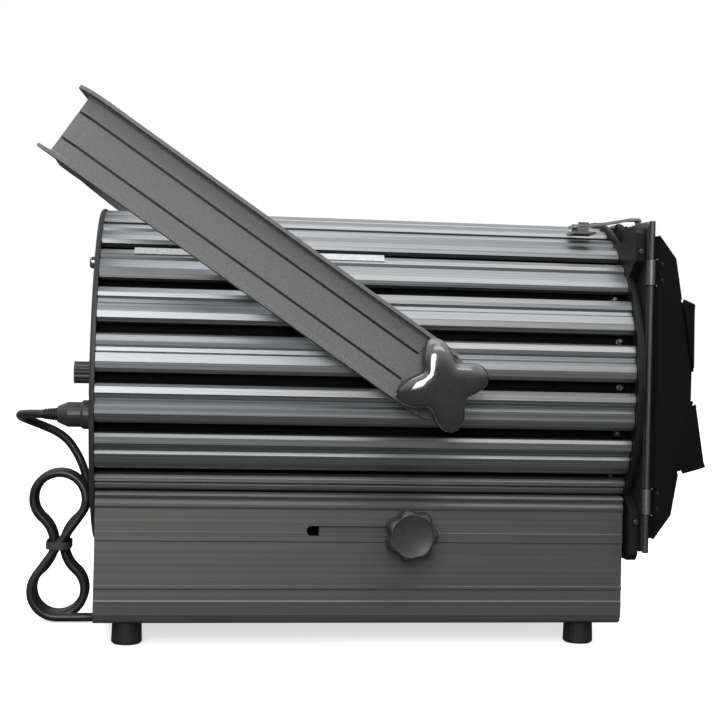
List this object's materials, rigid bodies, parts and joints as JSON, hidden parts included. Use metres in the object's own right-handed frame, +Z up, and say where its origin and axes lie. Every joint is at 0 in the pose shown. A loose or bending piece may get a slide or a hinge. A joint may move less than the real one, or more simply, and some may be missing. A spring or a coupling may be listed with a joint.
{
  "type": "fresnel spotlight",
  "caption": "Studio spotlight with a slatted cylindrical head on a box base, a tilting yoke, hinged barn doors, a sliding focus knob and a tied mains cord.",
  "frame": {"origin": "under the middle of the lamp's bounding box without its cord, on the floor", "axes": "+X is the way the light points, +Z is up, and -Y is the side with the focus knob"},
  "size_m": [0.5562, 0.366, 0.4195],
  "materials": {
    "aluminium": "bare",
    "black_paint": "matt",
    "black_plastic": "gloss",
    "bright_metal": "satin",
    "glass": "clear",
    "grey_paint": "satin paint",
    "led_phosphor": "matt",
    "rubber": "matt",
    "slat_metal": "satin anodised, fine extrusion lines",
    "steel": "satin",
    "yoke_paint": "matt grey coating"
  },
  "bodies": {
    "housing": {"base_front_panel": "grey_paint", "base_rear_panel": "grey_paint", "base_tray": "grey_paint", "cable_gland": "black_plastic", "cord_hank": "rubber", "cord_lead": "rubber", "cord_tail": "rubber", "door_frame": "grey_paint", "foot_front_far": "rubber", "foot_front_near": "rubber", "foot_rear_far": "rubber", "foot_rear_near": "rubber", "front_ring": "black_paint", "guide_rod_far": "steel", "guide_rod_near": "steel", "inner_tube": "black_paint", "latch_bracket": "steel", "lens": "glass", "pivot_boss_far": "steel", "pivot_boss_near": "steel", "plug": "black_plastic", "power_supply": "black_plastic", "rear_plate": "grey_paint", "rear_screw": "steel", "slat_far_0": "slat_metal", "slat_far_1": "slat_metal", "slat_far_2": "slat_metal", "slat_far_3": "slat_metal", "slat_far_4": "slat_metal", "slat_far_5": "slat_metal", "slat_far_6": "slat_metal", "slat_far_7": "slat_metal", "slat_near_0": "slat_metal", "slat_near_1": "slat_metal", "slat_near_2": "slat_metal", "slat_near_3": "slat_metal", "slat_near_4": "slat_metal", "slat_near_5": "slat_metal", "slat_near_6": "slat_metal", "slat_near_7": "slat_metal", "slat_top": "slat_metal"},
    "yoke": {"yoke": "yoke_paint"},
    "star_near": {"star_knob_near": "black_plastic"},
    "star_far": {"star_knob_far": "black_plastic"},
    "focus_carriage": {"carriage": "aluminium", "heat_sink": "aluminium", "led_module": "led_phosphor", "reflector": "aluminium", "slot_cover": "aluminium"},
    "focus_knob": {"focus_knob": "black_plastic"},
    "leaf_near": {"leaf_near": "black_paint"},
    "leaf_far": {"leaf_far": "black_paint"},
    "leaf_top": {"leaf_top": "black_paint"},
    "leaf_bottom": {"leaf_bottom": "black_paint"},
    "wing_near_upper": {"wing_near_upper": "black_paint"},
    "wing_near_lower": {"wing_near_lower": "black_paint"},
    "wing_far_upper": {"wing_far_upper": "black_paint"},
    "wing_far_lower": {"wing_far_lower": "black_paint"},
    "latch": {"latch_strip": "bright_metal"},
    "dimmer": {"dimmer_knob": "black_plastic"}
  },
  "joints": [
    {"name": "yoke_tilt", "type": "hinge", "parent": "housing", "child": "yoke", "pos_m": [0.0254, 0, 0.199], "axis": [0, -1, 0], "range_deg": [-140, 36]},
    {"name": "star_near_turn", "type": "hinge", "parent": "housing", "child": "star_near", "pos_m": [0.0254, -0.17, 0.199], "axis": [0, -1, 0], "range_deg": [0, 360]},
    {"name": "star_far_turn", "type": "hinge", "parent": "housing", "child": "star_far", "pos_m": [0.0254, 0.17, 0.199], "axis": [0, 1, 0], "range_deg": [0, 360]},
    {"name": "focus_slide", "type": "slide", "parent": "housing", "child": "focus_carriage", "axis": [1, 0, 0], "range_m": [-0.07, 0]},
    {"name": "focus_knob_turn", "type": "hinge", "parent": "focus_carriage", "child": "focus_knob", "pos_m": [0.0114, -0.125, 0.087], "axis": [0, -1, 0], "range_deg": [0, 270]},
    {"name": "leaf_near_hinge", "type": "hinge", "parent": "housing", "child": "leaf_near", "pos_m": [0.19255, -0.128, 0.2], "axis": [0, 0, -1], "range_deg": [-30, 82]},
    {"name": "leaf_far_hinge", "type": "hinge", "parent": "housing", "child": "leaf_far", "pos_m": [0.19255, 0.128, 0.2], "axis": [0, 0, 1], "range_deg": [-30, 82]},
    {"name": "leaf_top_hinge", "type": "hinge", "parent": "housing", "child": "leaf_top", "pos_m": [0.19255, 0, 0.328], "axis": [0, -1, 0], "range_deg": [-3, 118]},
    {"name": "leaf_bottom_hinge", "type": "hinge", "parent": "housing", "child": "leaf_bottom", "pos_m": [0.19255, 0, 0.072], "axis": [0, 1, 0], "range_deg": [-3, 98]},
    {"name": "wing_near_upper_hinge", "type": "hinge", "parent": "leaf_near", "child": "wing_near_upper", "pos_m": [0.24645, -0.06149, 0.2395], "axis": [0.3092, 0.4416, -0.8423], "range_deg": [-2, 88]},
    {"name": "wing_near_lower_hinge", "type": "hinge", "parent": "leaf_near", "child": "wing_near_lower", "pos_m": [0.24645, -0.06149, 0.1605], "axis": [-0.3092, -0.4416, -0.8423], "range_deg": [-25, 65]},
    {"name": "wing_far_upper_hinge", "type": "hinge", "parent": "leaf_far", "child": "wing_far_upper", "pos_m": [0.24645, 0.06149, 0.2395], "axis": [-0.3092, 0.4416, 0.8423], "range_deg": [-2, 88]},
    {"name": "wing_far_lower_hinge", "type": "hinge", "parent": "leaf_far", "child": "wing_far_lower", "pos_m": [0.24645, 0.06149, 0.1605], "axis": [0.3092, -0.4416, 0.8423], "range_deg": [-20, 70]},
    {"name": "latch_hinge", "type": "hinge", "parent": "housing", "child": "latch", "pos_m": [0.1534, -0.068, 0.325], "axis": [0, -1, 0], "range_deg": [0, 75]},
    {"name": "dimmer_turn", "type": "hinge", "parent": "housing", "child": "dimmer", "pos_m": [-0.23, -0.038, 0.201], "axis": [-1, 0, 0], "range_deg": [-150, 150]}
  ]
}
